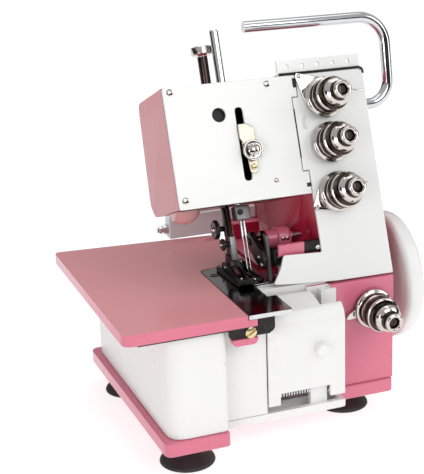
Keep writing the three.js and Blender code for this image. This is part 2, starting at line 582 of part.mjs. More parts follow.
// ---------------------------------------------------------------- loopers and feed dog
function loopersAndFeed() {
  const { lower, upper, z } = LOOPER;
  const low = upright([[lower - 4, z - 3, 2], [lower + 4, z - 3, 2], [lower + 6, z + 30], [lower + 4, z + 38, 2],
    [lower - 2, z + 38], [lower - 2, z + 36.5], [lower + 1, z + 35], [lower + 1, z + 30]], [66.8, 69.2]);
  const lowShaft = rod('y', LOOPER.radius, [66.8, 112], [lower, z], 16);
  add(machine, 'lower_looper', join(low, lowShaft), STEEL, 0.2, 1);
  const up = upright([[upper - 3, z - 5, 2], [upper + 3, z - 5, 2], [upper + 3, z + 25], [upper, z + 42, 1],
    [upper - 5, z + 42.5], [upper - 5, z + 41], [upper - 2, z + 38], [upper - 3, z + 25]], [71.5, 73.9]);
  const upShaft = rod('y', LOOPER.radius, [71.5, 112], [upper, z], 16);
  add(machine, 'upper_looper', join(up, upShaft), STEEL, 0.2, 1);

  const pitch = 2;
  const teeth = Array.from({ length: 13 }, (_, k) => [
    [56.5 + pitch * k, 107.2], [56.5 + pitch * (k + 0.9), 108.6]]).flat();
  const toothed = sidewall([[56.5, 98], [82.8, 98], [82.8, 107.2], ...teeth.reverse()], [73, 75]);
  const second = toothed.clone().translate(6.5, 0, 0);
  const carrier = block([73, 81.5], [74, 82], [95, 99.5]);
  add(machine, 'feed_dog', join(toothed, second, carrier), STEEL, 0.3, 1);
}

feet();
basePlinth();
leftCasing();
frontPanel();
chipTray();
bedCasting();
beltCover();
rearArm();
clothTable();
needlePlate();
tableLatch();
looperCover();
headCasting();
facePlate();
tensionPanel();
topThreadGuide();
lampLens();
carryingHandle();
needleBar();
takeUp();
presser();
knives();
tensionDials();
drive();
loopersAndFeed();

// the origin is on the floor, below the middle of the whole machine
machine.updateMatrixWorld(true);
const middle = new THREE.Box3().setFromObject(machine, true).getCenter(new THREE.Vector3());
machine.position.set(-middle.x, -middle.y, 0);

export default machine;
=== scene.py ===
"""A four-thread serger: pink cast bed and head, white covers, nickel tension dials.

Lengths in the drawing are millimetres. The drawing starts at the plinth's front left corner on the
floor: X to the handwheel, Y away from the operator, Z up. The head leans back, so its pieces are
drawn upright as (X, depth into the head, height along the lean) and leaned by head().
"""
import json
import math

import bmesh
import bpy
import numpy as np
from mathutils import Matrix, Vector


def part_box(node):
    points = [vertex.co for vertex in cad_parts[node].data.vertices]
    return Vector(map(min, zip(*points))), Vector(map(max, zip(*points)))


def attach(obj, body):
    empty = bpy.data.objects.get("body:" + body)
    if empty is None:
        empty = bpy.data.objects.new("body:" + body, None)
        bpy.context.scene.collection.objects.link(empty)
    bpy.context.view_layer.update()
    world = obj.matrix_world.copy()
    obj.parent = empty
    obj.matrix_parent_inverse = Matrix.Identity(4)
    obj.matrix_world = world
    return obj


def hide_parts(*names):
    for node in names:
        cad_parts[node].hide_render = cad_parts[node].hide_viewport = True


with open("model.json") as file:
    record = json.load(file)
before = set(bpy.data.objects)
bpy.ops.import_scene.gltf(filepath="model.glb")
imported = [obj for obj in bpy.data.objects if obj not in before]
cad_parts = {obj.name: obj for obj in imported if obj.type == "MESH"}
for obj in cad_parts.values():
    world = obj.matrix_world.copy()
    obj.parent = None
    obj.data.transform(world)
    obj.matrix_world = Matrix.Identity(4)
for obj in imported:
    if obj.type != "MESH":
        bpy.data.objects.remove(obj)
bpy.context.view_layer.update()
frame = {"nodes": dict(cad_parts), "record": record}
OWNER = {node: body for body, nodes in frame["record"]["behaviour"]["bodies"].items() for node in nodes}

# ------------------------------------------------------------------ the drawing's places
PLINTH_RIGHT = 186  # the plinth's right side in the drawing
CORNER = np.array([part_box("base_plinth")[1][0] - PLINTH_RIGHT * 0.001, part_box("base_plinth")[0][1], 0.0])
LEAN = math.radians(20)
UP = np.array([0, math.sin(LEAN), math.cos(LEAN)])
DEEP = np.array([0, math.cos(LEAN), -math.sin(LEAN)])
NEEDLE_FOOT = np.array([0, 64.5, 110.0])  # where the needle bar's line meets the plate
FACE = -25.0  # depth of the head's front plates


def bench(points):
    """Upright drawing places, in millimetres, as metres in the row frame."""
    return np.asarray(points, float) * 0.001 + CORNER


def head(points):
    """(X, depth, height) on the leaning head, in millimetres, as metres in the row frame."""
    p = np.asarray(points, float)
    leaned = NEEDLE_FOOT + p[..., :1] * [1, 0, 0] + p[..., 1:2] * DEEP + p[..., 2:3] * UP
    return bench(leaned)


def leaned(m):
    """Drawing places in millimetres as (X, depth, height) on the leaning head."""
    from_foot = m - NEEDLE_FOOT
    return np.stack([from_foot[:, 0], from_foot @ DEEP, from_foot @ UP], 1)


def upright(m):
    """Drawing places as they are."""
    return m


# ------------------------------------------------------------------ shapes as arrays
def grid_faces(rows, columns, close_rows=False, close_columns=False):
    """Quads joining each grid point to the next row and the next column."""
    u, v = np.meshgrid(np.arange(rows if close_rows else rows - 1),
                       np.arange(columns if close_columns else columns - 1), indexing="ij")
    u1, v1 = (u + 1) % rows, (v + 1) % columns
    return np.stack([u * columns + v, u1 * columns + v, u1 * columns + v1, u * columns + v1],
                    -1).reshape(-1, 4)


def soften(corners, fillet, steps=3, closed=False):
    """Corner points with each corner swapped for a parabola that starts fillet away from it.

    Each parabola is (1 - t)^2 start + 2 t (1 - t) corner + t^2 end, and fillet never passes 0.45 of a side.
    """
    def size(w):
        return np.maximum(np.linalg.norm(w, axis=1, keepdims=True), 1e-9)

    c = np.asarray(corners, float)
    before, after = np.roll(c, 1, 0) - c, np.roll(c, -1, 0) - c
    reach = np.minimum(np.broadcast_to(np.reshape(fillet, (-1, 1)), (len(c), 1)),
                       0.45 * np.minimum(size(before), size(after)))
    if not closed:
        reach = reach.copy()
        reach[[0, -1]] = 0
    start, end = c + before / size(before) * reach, c + after / size(after) * reach
    t = np.linspace(0, 1, steps + 1)[None, :, None]
    curve = (1 - t) ** 2 * start[:, None] + 2 * t * (1 - t) * c[:, None] + t ** 2 * end[:, None]
    return curve.reshape(-1, c.shape[1])


AXES = {"x": ([0, 1, 0], [0, 0, 1], [1, 0, 0]), "y": ([0, 0, 1], [1, 0, 0], [0, 1, 0]),
        "z": ([1, 0, 0], [0, 1, 0], [0, 0, 1])}


def turned(axis, profile, centre, sides=64, fillet=0.0, ring=False):
    """A profile of (radius, along) pairs turned about an axis: centre + radius (cos, sin) + along."""
    p = soften(profile, fillet, closed=ring) if fillet else np.asarray(profile, float)
    e1, e2, e3 = np.array(AXES[axis], float)
    angle = np.linspace(0, 2 * math.pi, sides, endpoint=False)[None, :]
    radius = p[:, :1] * np.ones_like(angle)
    along = p[:, 1:2] * np.ones_like(angle)
    at = centre[0] * e1 + centre[1] * e2 if axis != "y" else centre[0] * e2 + centre[1] * e1
    points = (at + radius[..., None] * (np.cos(angle)[..., None] * e1 + np.sin(angle)[..., None] * e2)
              + along[..., None] * e3)
    return points.reshape(-1, 3), grid_faces(len(p), sides, ring, True).tolist()


def tube(path, radius, sides=24, across=(0, 1, 0), caps=True):
    """A round section carried along a path: each point adds radius (cos n1 + sin n2).

    n1 and n2 are square to the path, across fixes n1, and repeated path points are dropped.
    """
    p = np.asarray(path, float)
    p = p[np.append(True, np.linalg.norm(np.diff(p, axis=0), axis=1) > 1e-6)]
    along = np.gradient(p, axis=0)
    along /= np.linalg.norm(along, axis=1, keepdims=True)
    n1 = np.cross(along, np.asarray(across, float))
    n1 /= np.linalg.norm(n1, axis=1, keepdims=True)
    n2 = np.cross(along, n1)
    angle = np.linspace(0, 2 * math.pi, sides, endpoint=False)
    r = np.broadcast_to(np.reshape(radius, (-1, 1, 1)), (len(p), 1, 1))
    points = p[:, None] + r * (np.cos(angle)[None, :, None] * n1[:, None] + np.sin(angle)[None, :,
            None] * n2[:, None])
    faces = grid_faces(len(p), sides, False, True).tolist()
    if caps:
        faces += [list(range(sides)), list(range((len(p) - 1) * sides, len(p) * sides))[::-1]]
    return points.reshape(-1, 3), faces


def coil(axis, centre, radius, ends, turns, wire, steps=18):
    """A wire wound round an axis: it climbs evenly between the ends, with a flat turn at each."""
    e1, e2, e3 = np.array(AXES[axis], float)
    at = centre[0] * e1 + centre[1] * e2
    t = np.linspace(0, 1, int(turns * steps))[:, None]
    climb = np.clip((t * turns - 0.8) / (turns - 1.6), 0, 1)
    angle = 2 * math.pi * turns * t
    round_axis = radius * (np.cos(angle) * e1 + np.sin(angle) * e2)
    path = at + round_axis + (ends[0] + (ends[1] - ends[0]) * climb) * e3
    return tube(path, wire, 8, across=e3)


def plate(axis, corners, low, high, edge=0.5, round_corners=0.0, steps=3):
    """An outline made into a plate along an axis, its rims rounded by a quarter circle."""
    shape = np.asarray(corners, float)
    if np.any(round_corners):
        shape = soften(shape, round_corners, closed=True)
    area = np.sum(shape[:, 0] * np.roll(shape[:, 1], -1) - np.roll(shape[:, 0], -1) * shape[:, 1])
    if area < 0:
        shape = shape[::-1]
    side = np.roll(shape, -1, 0) - shape
    side /= np.maximum(np.linalg.norm(side, axis=1, keepdims=True), 1e-9)
    out = np.stack([side[:, 1], -side[:, 0]], 1)
    corner = out + np.roll(out, 1, 0)
    corner /= np.maximum(np.sum(corner * out, axis=1, keepdims=True), 0.3)
    quarter = np.linspace(0, math.pi / 2, steps + 1)
    inset = np.concatenate([edge * (1 - np.sin(quarter)), edge * (1 - np.cos(quarter))])
    height = np.concatenate([low + edge * (1 - np.cos(quarter)), high - edge * (1 - np.sin(quarter))])
    rings = shape[None] - inset[:, None, None] * corner[None]
    e1, e2, e3 = np.array({"x": ([0, 1, 0], [0, 0, 1], [1, 0, 0]), "y": ([1, 0, 0], [0, 0, 1], [0, 1, 0]),
                           "z": ([1, 0, 0], [0, 1, 0], [0, 0, 1])}[axis], float)
    points = rings[..., :1] * e1 + rings[..., 1:] * e2 + height[:, None, None] * e3
    n = len(shape)
    faces = grid_faces(len(inset), n, False, True).tolist()
    faces += [list(range(n)), list(range((len(inset) - 1) * n, len(inset) * n))]
    return points.reshape(-1, 3), faces


def together(*shapes):
    """Several shapes as one."""
    points, faces, count = [], [], 0
    for p, f in shapes:
        points.append(p)
        faces += [[i + count for i in face] for face in f]
        count += len(p)
    return np.concatenate(points), faces


# ------------------------------------------------------------------ pieces
def finish_piece(obj, material, body, stands_for, sharp):
    """Gives a piece its material, its shading, its body and the CAD nodes that it replaces."""
    mesh = obj.data
    mesh.materials.clear()
    mesh.materials.append(material)
    mesh.polygons.foreach_set("use_smooth", [True] * len(mesh.polygons))
    mesh.set_sharp_from_angle(angle=math.radians(sharp))
    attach(obj, body)
    if stands_for:
        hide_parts(*stands_for)
    return obj


def painted(mesh, zones):
    """Gives the faces that a zone's test picks the zone's material, from their middles and normals."""
    middle, normal = np.empty((2, len(mesh.polygons), 3))
    mesh.polygons.foreach_get("center", middle.ravel())
    mesh.polygons.foreach_get("normal", normal.ravel())
    index = np.zeros(len(mesh.polygons), int)
    for number, (material, test) in enumerate(zones, 1):
        mesh.materials.append(material)
        index[test((middle - CORNER) * 1000, normal)] = number
    mesh.polygons.foreach_set("material_index", index)


def piece(name, shape, place, material, body, stands_for=(), sharp=38, zones=()):
    """A new piece from a shape in millimetres, with its doubles merged and its faces turned out."""
    points, faces = shape
    mesh = bpy.data.meshes.new(name)
    mesh.from_pydata(place(points).tolist(), [], faces)
    work = bmesh.new()
    work.from_mesh(mesh)
    bmesh.ops.remove_doubles(work, verts=work.verts, dist=2e-6)
    bmesh.ops.dissolve_degenerate(work, edges=work.edges, dist=1e-6)
    bmesh.ops.recalc_face_normals(work, faces=work.faces)
    work.to_mesh(mesh)
    work.free()
    obj = bpy.data.objects.new(name, mesh)
    bpy.context.scene.collection.objects.link(obj)
    finish_piece(obj, material, body, stands_for, sharp)
    painted(mesh, zones)
    return obj


def dressed(node, material, edge=0.6, zones=(), segments=3, sharp=32):
    """A CAD node's own shape, merged, with its edges rounded by edge millimetres."""
    source = frame["nodes"][node]
    work = bmesh.new()
    work.from_mesh(source.data)
    bmesh.ops.remove_doubles(work, verts=work.verts, dist=1e-5)
    bmesh.ops.dissolve_limit(work, angle_limit=math.radians(0.6), verts=work.verts, edges=work.edges)
    mesh = bpy.data.meshes.new(node + "_body")
    work.to_mesh(mesh)
    work.free()
    obj = bpy.data.objects.new(node + "_body", mesh)
    bpy.context.scene.collection.objects.link(obj)
    finish_piece(obj, material, OWNER[node], (node,), sharp)
    painted(mesh, zones)
    if edge:
        bevel = obj.modifiers.new("rounded edges", "BEVEL")
        bevel.width = edge * 0.001
        bevel.segments = segments
        bevel.limit_method = "ANGLE"
        bevel.angle_limit = math.radians(sharp)
        bevel.harden_normals = True
    return obj


# ------------------------------------------------------------------ shader groups
def new_group(name, inputs, outputs):
    """An empty node group with the named sockets, and its input and output nodes."""
    group = bpy.data.node_groups.new(name, "ShaderNodeTree")
    for label, kind, value in inputs:
        socket = group.interface.new_socket(label, in_out="INPUT", socket_type=kind)
        socket.default_value = value
    for label, kind in outputs:
        group.interface.new_socket(label, in_out="OUTPUT", socket_type=kind)
    return group, group.nodes.new("NodeGroupInput"), group.nodes.new("NodeGroupOutput")


def add_node(tree, kind, **values):
    """A node of a kind, with its properties set."""
    node = tree.nodes.new(kind)
    for key, value in values.items():
        setattr(node, key, value)
    return node


def noise(tree, vector, scale, detail=3.0, rough=0.55):
    """Fractal noise read at a place."""
    node = add_node(tree, "ShaderNodeTexNoise")
    tree.links.new(vector, node.inputs["Vector"])
    node.inputs["Scale"].default_value = scale
    node.inputs["Detail"].default_value = detail
    node.inputs["Roughness"].default_value = rough
    return node.outputs["Fac"]


def spread(tree, value, low, high, span=(0.3, 0.7)):
    """A value within a span, stretched and clamped to low and high."""
    node = add_node(tree, "ShaderNodeMapRange")
    tree.links.new(value, node.inputs["Value"])
    for label, number in zip(("From Min", "From Max", "To Min", "To Max"), (*span, low, high)):
        node.inputs[label].default_value = number
    return node.outputs["Result"]


def math_node(tree, operation, a, b):
    """One sum or product of two sockets or numbers."""
    node = add_node(tree, "ShaderNodeMath", operation=operation)
    for socket, value in zip(node.inputs, (a, b)):
        if isinstance(value, (int, float)):
            socket.default_value = value
        else:
            tree.links.new(value, socket)
    return node.outputs[0]


def tinted(tree, colour, factor):
    """A colour multiplied by a grey factor."""
    node = add_node(tree, "ShaderNodeVectorMath", operation="SCALE")
    tree.links.new(colour, node.inputs[0])
    tree.links.new(factor, node.inputs["Scale"])
    return node.outputs[0]


def enamel_group():
    """Sprayed enamel: slow cloudy shade, orange-peel height and a roughness that wanders a little."""
    group, start, end = new_group("sprayed_coat", [
        ("Colour", "NodeSocketColor", (1, 1, 1, 1)), ("Roughness", "NodeSocketFloat", 0.25),
        ("Cloud", "NodeSocketFloat", 0.03)],
        [("Colour", "NodeSocketColor"), ("Roughness", "NodeSocketFloat"), ("Height", "NodeSocketFloat")])
    place = add_node(group, "ShaderNodeTexCoord").outputs["Object"]
    cloud = spread(group, noise(group, place, 9), -1, 1)
    factor = math_node(group, "ADD", 1.0, math_node(group, "MULTIPLY", cloud, start.outputs["Cloud"]))
    group.links.new(tinted(group, start.outputs["Colour"], factor), end.inputs["Colour"])
    smear = spread(group, noise(group, place, 35, 4), -0.04, 0.05)
    group.links.new(math_node(group, "ADD", start.outputs["Roughness"], smear), end.inputs["Roughness"])
    group.links.new(noise(group, place, 420, 2), end.inputs["Height"])
    return group


def worked_metal_group():
    """Ground or plated metal: fine directional lines, with handling haze in the roughness."""
    group, start, end = new_group("worked_metal", [
        ("Colour", "NodeSocketColor", (1, 1, 1, 1)), ("Roughness", "NodeSocketFloat", 0.2),
        ("Lines", "NodeSocketVector", (400, 400, 400)), ("Depth", "NodeSocketFloat", 0.1)],
        [("Colour", "NodeSocketColor"), ("Roughness", "NodeSocketFloat"), ("Height", "NodeSocketFloat")])
    place = add_node(group, "ShaderNodeTexCoord").outputs["Object"]
    stretch = add_node(group, "ShaderNodeVectorMath", operation="MULTIPLY")
    group.links.new(place, stretch.inputs[0])
    group.links.new(start.outputs["Lines"], stretch.inputs[1])
    lines = noise(group, stretch.outputs[0], 1.0, 2)
    haze = noise(group, place, 60, 3)
    shade = math_node(group, "ADD", 1.0, math_node(group, "MULTIPLY", spread(group, lines, -1, 1),
                                                   start.outputs["Depth"]))
    group.links.new(tinted(group, start.outputs["Colour"], shade), end.inputs["Colour"])
    rough = math_node(group, "ADD", start.outputs["Roughness"], spread(group, haze, -0.03, 0.06))
    group.links.new(rough, end.inputs["Roughness"])
    group.links.new(lines, end.inputs["Height"])
    return group


def rubber_group():
    """Moulded rubber: matt grain, with a colour and a roughness that wander by noise."""
    group, start, end = new_group("moulded_rubber", [("Colour", "NodeSocketColor", (0, 0, 0, 1))],
                                  [("Colour", "NodeSocketColor"), ("Roughness", "NodeSocketFloat"),
                                   ("Height", "NodeSocketFloat")])
    place = add_node(group, "ShaderNodeTexCoord").outputs["Object"]
    factor = spread(group, noise(group, place, 70, 4), 0.8, 1.6)
    group.links.new(tinted(group, start.outputs["Colour"], factor), end.inputs["Colour"])
    group.links.new(spread(group, noise(group, place, 25), 0.42, 0.62), end.inputs["Roughness"])
    group.links.new(noise(group, place, 900, 3), end.inputs["Height"])
    return group


ENAMEL, WORKED, RUBBER = enamel_group(), worked_metal_group(), rubber_group()


def coated(name, group, values, bump, **shader):
    """A material whose colour, roughness and height come from one group.

    bump is the height in millimetres, and shader values are set on the shader's own sockets.
    """
    material = bpy.data.materials.new(name)
    material.use_nodes = True
    tree = material.node_tree
    principled = tree.nodes["Principled BSDF"]
    look = add_node(tree, "ShaderNodeGroup", node_tree=group)
    for label, value in values.items():
        look.inputs[label].default_value = value
    tree.links.new(look.outputs["Colour"], principled.inputs["Base Color"])
    tree.links.new(look.outputs["Roughness"], principled.inputs["Roughness"])
    lift = add_node(tree, "ShaderNodeBump")
    lift.inputs["Strength"].default_value = 1.0
    lift.inputs["Distance"].default_value = bump * 0.001
    tree.links.new(look.outputs["Height"], lift.inputs["Height"])
    tree.links.new(lift.outputs["Normal"], principled.inputs["Normal"])
    for label, value in shader.items():
        principled.inputs[label.replace("_", " ")].default_value = value
    return material


def rgb(*values):
    """A colour as seen, 0 to 255, as linear light."""
    c = np.array(values) / 255
    return (*np.where(c <= 0.04045, c / 12.92, ((c + 0.055) / 1.055) ** 2.4), 1.0)


PINK = coated("pink_enamel", ENAMEL, {"Colour": rgb(214, 112, 136), "Roughness": 0.24, "Cloud": 0.04},
              0.004, Coat_Weight=0.35, Coat_Roughness=0.08)
# a paler, greyed copy of the pink enamel for the table's top: painted sheen, the white that the top reflects
TABLE_PINK_SHEEN = coated("table_enamel_painted_sheen", ENAMEL, {"Colour": rgb(224, 152, 157), "Roughness": 0.34,
                                             "Cloud": 0.03}, 0.005, Coat_Weight=0.25, Coat_Roughness=0.15)
# a darker, deeper copy of the pink enamel for the head: painted shade
HEAD_PINK_SHADE = coated("head_enamel_painted_shade", ENAMEL, {"Colour": rgb(188, 84, 96), "Roughness": 0.26, "Cloud": 0.035},
                   0.004, Coat_Weight=0.3, Coat_Roughness=0.1)
# a darker, deeper copy of the pink enamel: painted shade on faces that the light misses
SHADE_PINK = coated("pink_enamel_in_painted_shade", ENAMEL, {"Colour": rgb(176, 30, 62), "Roughness": 0.28,
                                             "Cloud": 0.05}, 0.004, Coat_Weight=0.3, Coat_Roughness=0.1)
WHITE = coated("white_enamel", ENAMEL, {"Colour": rgb(232, 233, 231), "Roughness": 0.22, "Cloud": 0.01},
               0.003, Coat_Weight=0.3, Coat_Roughness=0.08)
COVER_WHITE = coated("white_moulding", ENAMEL, {"Colour": rgb(232, 232, 230), "Roughness": 0.3,
                                                "Cloud": 0.012}, 0.004)
# light grey paint with a cool green-blue tint: the tint is painted light, cancelling the pink bounce on the
# rear arm
GREY_PAINT = coated("grey_casting", ENAMEL, {"Colour": rgb(228, 240, 239), "Roughness": 0.4,
                                             "Cloud": 0.03}, 0.01)
BLACK = coated("blackened_steel", WORKED, {"Colour": rgb(46, 43, 42), "Roughness": 0.3,
                                           "Lines": (300, 300, 300), "Depth": 0.3}, 0.01, Metallic=0.75)
GREYED = coated("grey_steel", WORKED, {"Colour": rgb(128, 128, 128), "Roughness": 0.34,
                                       "Lines": (900, 200, 200), "Depth": 0.15}, 0.006, Metallic=0.9)
STEEL = coated("ground_steel", WORKED, {"Colour": rgb(214, 214, 216), "Roughness": 0.22,
                                        "Lines": (150, 2500, 150), "Depth": 0.06}, 0.004, Metallic=1.0)
PLATE_STEEL = coated("blued_plate", WORKED, {"Colour": rgb(120, 117, 116), "Roughness": 0.12,
                                             "Lines": (120, 1200, 120), "Depth": 0.08}, 0.002,
                                             Metallic=1.0)
CHROME = coated("chrome_plate", WORKED, {"Colour": rgb(208, 209, 212), "Roughness": 0.06,
                                         "Lines": (60, 60, 60), "Depth": 0.02}, 0.0, Metallic=1.0)
NICKEL = coated("nickel_plate", WORKED, {"Colour": rgb(206, 200, 195), "Roughness": 0.08,
                                         "Lines": (200, 200, 200), "Depth": 0.05}, 0.001, Metallic=1.0)
# nickel darkened to paint shade: the bands and grooves of the dials and the stud, the pressure screw's
# shank, the plate screw, the presser bar and the knife shaft's washer
NICKEL_SHADE = coated("nickel_painted_shade", WORKED, {"Colour": rgb(70, 60, 56), "Roughness": 0.18,
                                               "Lines": (200, 200, 200), "Depth": 0.1}, 0.001,
                                               Metallic=1.0)
TIN = coated("tinned_bracket", WORKED, {"Colour": rgb(176, 172, 158), "Roughness": 0.24,
                                        "Lines": (200, 200, 200), "Depth": 0.1}, 0.002, Metallic=1.0)
BRASS = coated("pale_brass", WORKED, {"Colour": rgb(222, 205, 160), "Roughness": 0.25,
                                      "Lines": (300, 300, 300), "Depth": 0.08}, 0.004, Metallic=1.0)
FOOT_RUBBER = coated("foot_rubber", RUBBER, {"Colour": rgb(34, 33, 35)}, 0.02)
LENS = coated("lamp_lens", ENAMEL, {"Colour": rgb(206, 150, 150), "Roughness": 0.2, "Cloud": 0.03}, 0.01,
              Subsurface_Weight=0.2)
# near-black that paints shade: sheets, strips and faces put in gaps, slots and openings where only shade is
# seen
SHADE_BLACK = coated("black_painted_shade", RUBBER, {"Colour": rgb(16, 15, 16)}, 0.0)

# ------------------------------------------------------------------ castings, covers and plates
FAR = math.inf


def within(m, x=(-FAR, FAR), y=(-FAR, FAR), z=(-FAR, FAR)):
    """Which places lie between the low and high limits of each axis."""
    low, high = np.array([x, y, z]).T
    return np.all((m > low) & (m < high), axis=1)


# each zone is a material and a test of face middles m, in drawing millimetres, and normals n, as arrays
ZONES = {
    "head_casting": [
        # painted shade: the head's left-facing walls and its underside get the darker pink
        (SHADE_PINK, lambda m, n: (n[:, 0] < -0.8) & (m[:, 0] > 100)),
        (SHADE_PINK, lambda m, n: (n[:, 2] < -0.6) & (m[:, 0] > 44)),
        # painted shade: the head's front faces above 165 mm, seen through the panels' gaps, in black
        (SHADE_BLACK, lambda m, n: (n[:, 1] < -0.8) & within(m, x=(40, 130), z=(165, FAR)))],
    "bed_casting": [
        (WHITE, lambda m, n: within(m, x=(84, 141), y=(-FAR, 54), z=(84, FAR))),
        (WHITE, lambda m, n: within(m, x=(104, 141), y=(-FAR, 63.5), z=(84, FAR))),
        # painted shade: the bed's upright recess walls behind the needle get the darker pink
        (SHADE_PINK, lambda m, n: (np.abs(n[:, 2]) < 0.5)
         & within(m, x=(60, 140), y=(63.6, FAR), z=(101, FAR)))],
    "needle_plate": [(STEEL, lambda m, n: n[:, 2] < 0.5)],
    # the table's sides keep the plain pink; its top has the painted sheen
    "cloth_table": [(PINK, lambda m, n: n[:, 2] < 0.5)],
}
for node, material, slot, edge in (
        ("base_plinth", PINK, "pink_paint", 1.4), ("bed_casting", PINK, "pink_paint", 1.0),
        ("head_casting", HEAD_PINK_SHADE, "pink_paint", 1.2), ("belt_cover", PINK, "pink_paint", 0.6),
        ("cloth_table", TABLE_PINK_SHEEN, "pink_paint", 1.8), ("table_latch_lever", PINK, "pink_paint", 0.7),
        ("face_plate", WHITE, "white_paint", 0.7),
        ("tension_panel", WHITE, "white_paint", 0.7), ("top_thread_guide", WHITE, "white_paint", 0.2),
        ("left_casing", COVER_WHITE, "white_cover", 0.9),
        ("front_panel", COVER_WHITE, "white_cover", 0.5),
        ("chip_tray", COVER_WHITE, "white_cover", 0.6), ("looper_cover", COVER_WHITE, "white_cover", 0.7),
        ("needle_plate", PLATE_STEEL, "polished_steel", 0.3), ("rear_arm", GREY_PAINT, "grey_cast", 1.2),
        ("knife_rest_arm", PINK, "pink_paint", 1.1),
        ("latch_bracket", BLACK, "black_steel", 0.3), ("needle_clamp", GREYED, "black_steel", 0.6),
        ("presser_lifter", BLACK, "black_steel", 0.6),
        ("knife_blade", GREYED, "black_steel", 0.3),
        ("lower_knife", STEEL, "polished_steel", 0.2), ("take_up_bracket", TIN, "nickel", 0.4),
        ("rear_stud", STEEL, "polished_steel", 0.3), ("lamp_lens", LENS, "lamp_plastic", 0.4),
        ("motor_body", BLACK, "black_steel", 0.8), ("motor_pulley", BLACK, "black_steel", 0.2),
        ("shaft_pulley", BLACK, "black_steel", 0.3), ("drive_belt", FOOT_RUBBER, "black_rubber", 0.2),
        ("main_shaft", STEEL, "polished_steel", 0.3), ("lower_looper", STEEL, "polished_steel", 0.3),
        ("upper_looper", STEEL, "polished_steel", 0.3), ("feed_dog", STEEL, "polished_steel", 0.0),
        ("cover_hinge_rod", STEEL, "polished_steel", 0.2),
        ("cover_hinge_sleeve", STEEL, "polished_steel", 0.1)):
    dressed(node, material, edge, ZONES.get(node, ()))

# ------------------------------------------------------------------ feet, handwheel and handle
FOOT_PLACES = {"front_left": (22, 24), "front_right": (158, 62), "rear_left": (18, 152),
               "rear_right": (163, 155)}
for name, place in FOOT_PLACES.items():
    profile = [(0, 1.2), (15, 0.6), (18.6, 0), (19.5, 0.5), (18.8, 2.2), (12.5, 6.2), (9, 9.6), (7.4, 13),
               (7.4, 16.2), (0, 16.2)]
    piece(f"suction_foot_{name}", turned("z", profile, place, 72, 0.8), bench, FOOT_RUBBER, "machine",
          (f"foot_{name}",))

SHAFT_Y, SHAFT_Z = 79, 91.3
wheel = turned("x", [(4.8, 189), (13, 189), (13, 197.6), (40, 197.2), (44.5, 197), (48, 199), (48, 204),
                     (46.6, 209.4), (42.5, 212),
                     (39, 211), (35.5, 208.2), (22, 206.6), (13.6, 207), (12.4, 211), (4.8, 211)],
                     (SHAFT_Y, SHAFT_Z), 128, 1.6, ring=True)
piece("handwheel_body", wheel, bench, COVER_WHITE, "wheel_shaft", ("handwheel",))
piece("handwheel_cap_screw", turned("x",
                                    [(0, 210.6), (7.4, 210.6), (7.4, 211.2), (5.5, 211.9), (0, 211.9)],
                                    (SHAFT_Y, SHAFT_Z), 48, 0.3),
      bench, STEEL, "wheel_shaft")

HANDLE_TILT, HANDLE_RADIUS = math.radians(10), 4.1


def handle_path():
    """Along the low bar, round a bend, up the grip's end, round a wider bend and back along the top bar."""
    def arc(cx, cz, r, a, b, n):
        angle = np.linspace(a, b, n)
        return np.stack([cx + r * np.cos(angle), 0 * angle, cz + r * np.sin(angle)], 1)

    def straight(p, q, n):
        return np.linspace(p, q, n)[1:-1]

    low, high, right, tall = 17, 21, 222, 64.4  # the bends' radii, the far end and the height
    first = arc(right - low, low, low, -math.pi / 2, 0, 20)
    second = arc(right - high, tall - high, high, 0, math.pi / 2, 24)
    path = np.concatenate([[[187.3, 0, 0]], straight([187.3, 0, 0], first[0], 6), first,
                           straight(first[-1], second[0], 8),
                           second, straight(second[-1], [110, 0, tall], 14), [[110, 0, tall]]])
    return np.stack([path[:, 0], 112 + path[:, 2] * math.sin(HANDLE_TILT),
                     215 + path[:, 2] * math.cos(HANDLE_TILT)], 1)


handle_across = (0, math.cos(HANDLE_TILT), -math.sin(HANDLE_TILT))
piece("carrying_handle_rod", tube(handle_path(), HANDLE_RADIUS, 40, across=handle_across),
      bench, CHROME, "machine", ("carrying_handle",), sharp=50)

# ------------------------------------------------------------------ needle bar, presser bar and springs
NEEDLE_X, PRESSER_X, PRESSER_B = 88, 80.2, 10
bar = turned("z", [(0, 51.8), (2.9, 51.8), (3.2, 52.4), (3.2, 177.5), (2.6, 178.5), (1.5, 178.5),
                   (1.5, 173), (0, 173)], (NEEDLE_X, 0), 48, 0.2)
piece("needle_bar_rod", bar, head, CHROME, "needle_drive", ("needle_bar",))
for side, x in (("left", 86.75), ("right", 89.25)):
    profile = [(0, 3), (0.2, 4.5), (0.45, 7), (0.5, 27), (0.85, 29.5), (0.9, 41.2), (0, 41.2)]
    piece(f"needle_shank_{side}", turned("z", profile, (x, 0), 20, 0.2), head, CHROME, "needle_drive",
          (f"needle_{side}",))
# the presser bar in darkened nickel: painted shade
profile = [(0, 20), (2.7, 20), (2.9, 20.4), (2.9, 66), (5, 66), (5, 69), (2.9, 69), (2.9, 122), (0, 122)]
piece("presser_bar_rod", turned("z", profile, (PRESSER_X, PRESSER_B), 40, 0.15), head, NICKEL_SHADE,
      "presser", ("presser_bar",))
piece("presser_side_bar", plate("x", [(5, 31), (9, 31), (9, 52), (5, 52)], 76.2, 77.4, 0.3), head, BLACK,
      "presser")
piece("presser_holder", plate("y", [(77.6, 14), (82.2, 14), (82.2, 31), (77.6, 31)], 3, 6.8, 0.5), head,
      GREYED, "presser")
piece("presser_holder_back", plate("y", [(77.4, 20), (82.4, 20), (82.4, 30.5), (77.4, 30.5)], 6.8, 13,
                                   0.5), head, BLACK, "presser")


